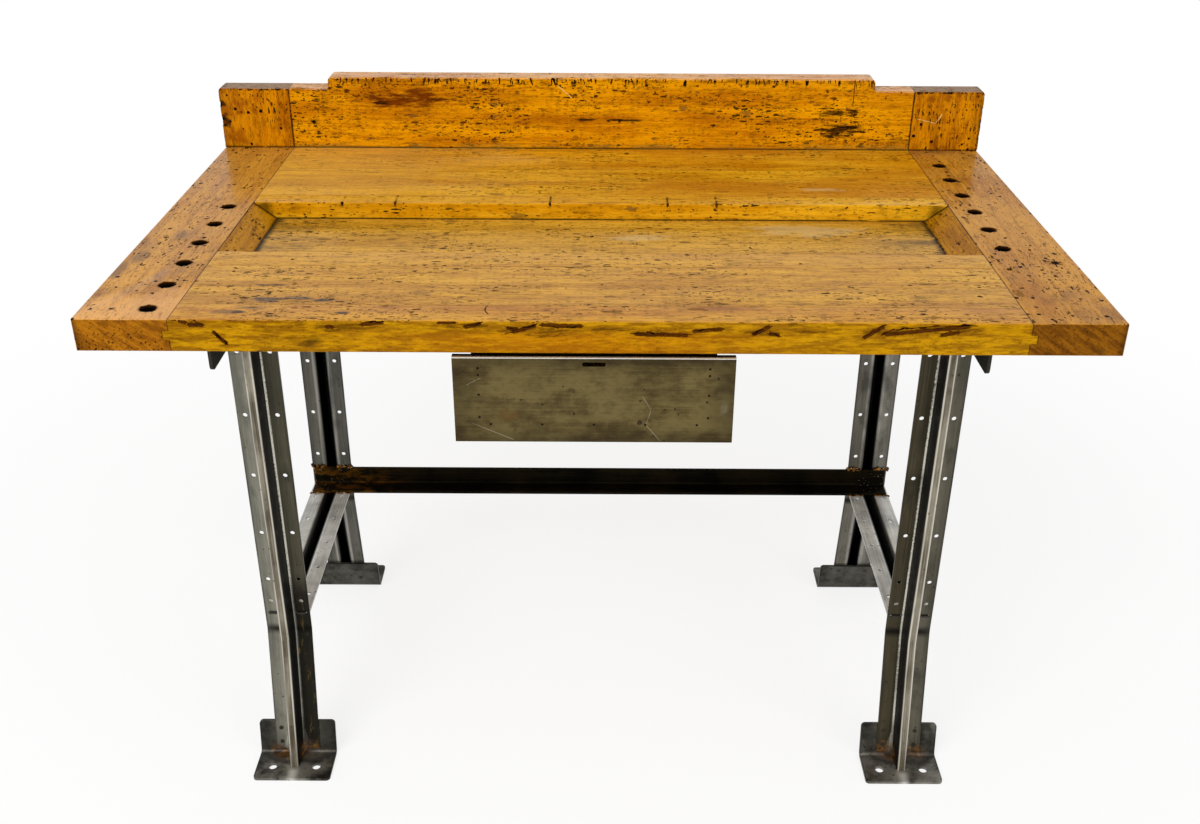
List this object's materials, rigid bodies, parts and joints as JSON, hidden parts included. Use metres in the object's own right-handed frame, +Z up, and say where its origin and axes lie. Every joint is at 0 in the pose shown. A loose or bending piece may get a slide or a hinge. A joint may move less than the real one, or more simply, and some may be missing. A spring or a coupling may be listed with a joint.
{
  "type": "industrial workbench",
  "caption": "Maple-topped workbench with breadboard end caps bored for bench dogs, a sunken tool well, a raised backboard, a steel drawer and pressed-steel bolt-down legs.",
  "frame": {"origin": "the floor point under the middle of the bench's overall box", "axes": "+X to the right along the top, +Y to the back, +Z up; the drawer opens towards -Y"},
  "size_m": [1.524, 0.9318, 1.0056],
  "materials": {
    "top_maple": "worn amber maple, long grain",
    "well_maple": "worn amber maple, duller on the floor",
    "cap_maple": "worn maple, grain from front to back",
    "backboard_maple": "orange varnished maple with dark stains",
    "cleat_maple": "orange varnished maple, upright grain",
    "leg_steel": "bare pressed steel, burnished with dark smudges",
    "foot_steel": "bare steel plate with rust in the bend",
    "dark_steel": "mill-scale black steel with brown rust",
    "fastener_steel": "dull steel",
    "runner_steel": "dull folded sheet",
    "drawer_steel": "olive grey scratched sheet steel"
  },
  "bodies": {
    "bench": {"front_board_1": "top_maple", "front_board_2": "top_maple", "front_board_3": "top_maple", "front_board_4": "top_maple", "rear_strip": "top_maple", "rear_board_1": "top_maple", "rear_board_2": "top_maple", "well_floor": "well_maple", "left_well_ramp": "well_maple", "right_well_ramp": "well_maple", "left_end_cap": "cap_maple", "right_end_cap": "cap_maple", "backboard": "backboard_maple", "left_backboard_cleat": "cleat_maple", "right_backboard_cleat": "cleat_maple", "front_left_leg": "leg_steel", "front_right_leg": "leg_steel", "rear_left_leg": "leg_steel", "rear_right_leg": "leg_steel", "left_side_stretcher": "leg_steel", "right_side_stretcher": "leg_steel", "front_left_foot": "foot_steel", "front_right_foot": "foot_steel", "rear_left_foot": "foot_steel", "rear_right_foot": "foot_steel", "back_stretcher": "dark_steel", "left_top_rail": "dark_steel", "right_top_rail": "dark_steel", "weld_beads": "dark_steel", "foot_rivets": "fastener_steel", "rail_lag_screws": "fastener_steel", "backboard_screws": "fastener_steel", "runner_screws": "fastener_steel", "left_drawer_runner": "runner_steel", "right_drawer_runner": "runner_steel"},
    "drawer": {"drawer_front": "drawer_steel", "drawer_tray": "drawer_steel", "drawer_rivets": "drawer_steel"}
  },
  "joints": [
    {"name": "drawer_slide", "type": "slide", "parent": "bench", "child": "drawer", "axis": [0, -1, 0], "range_m": [0, 0.3]}
  ]
}
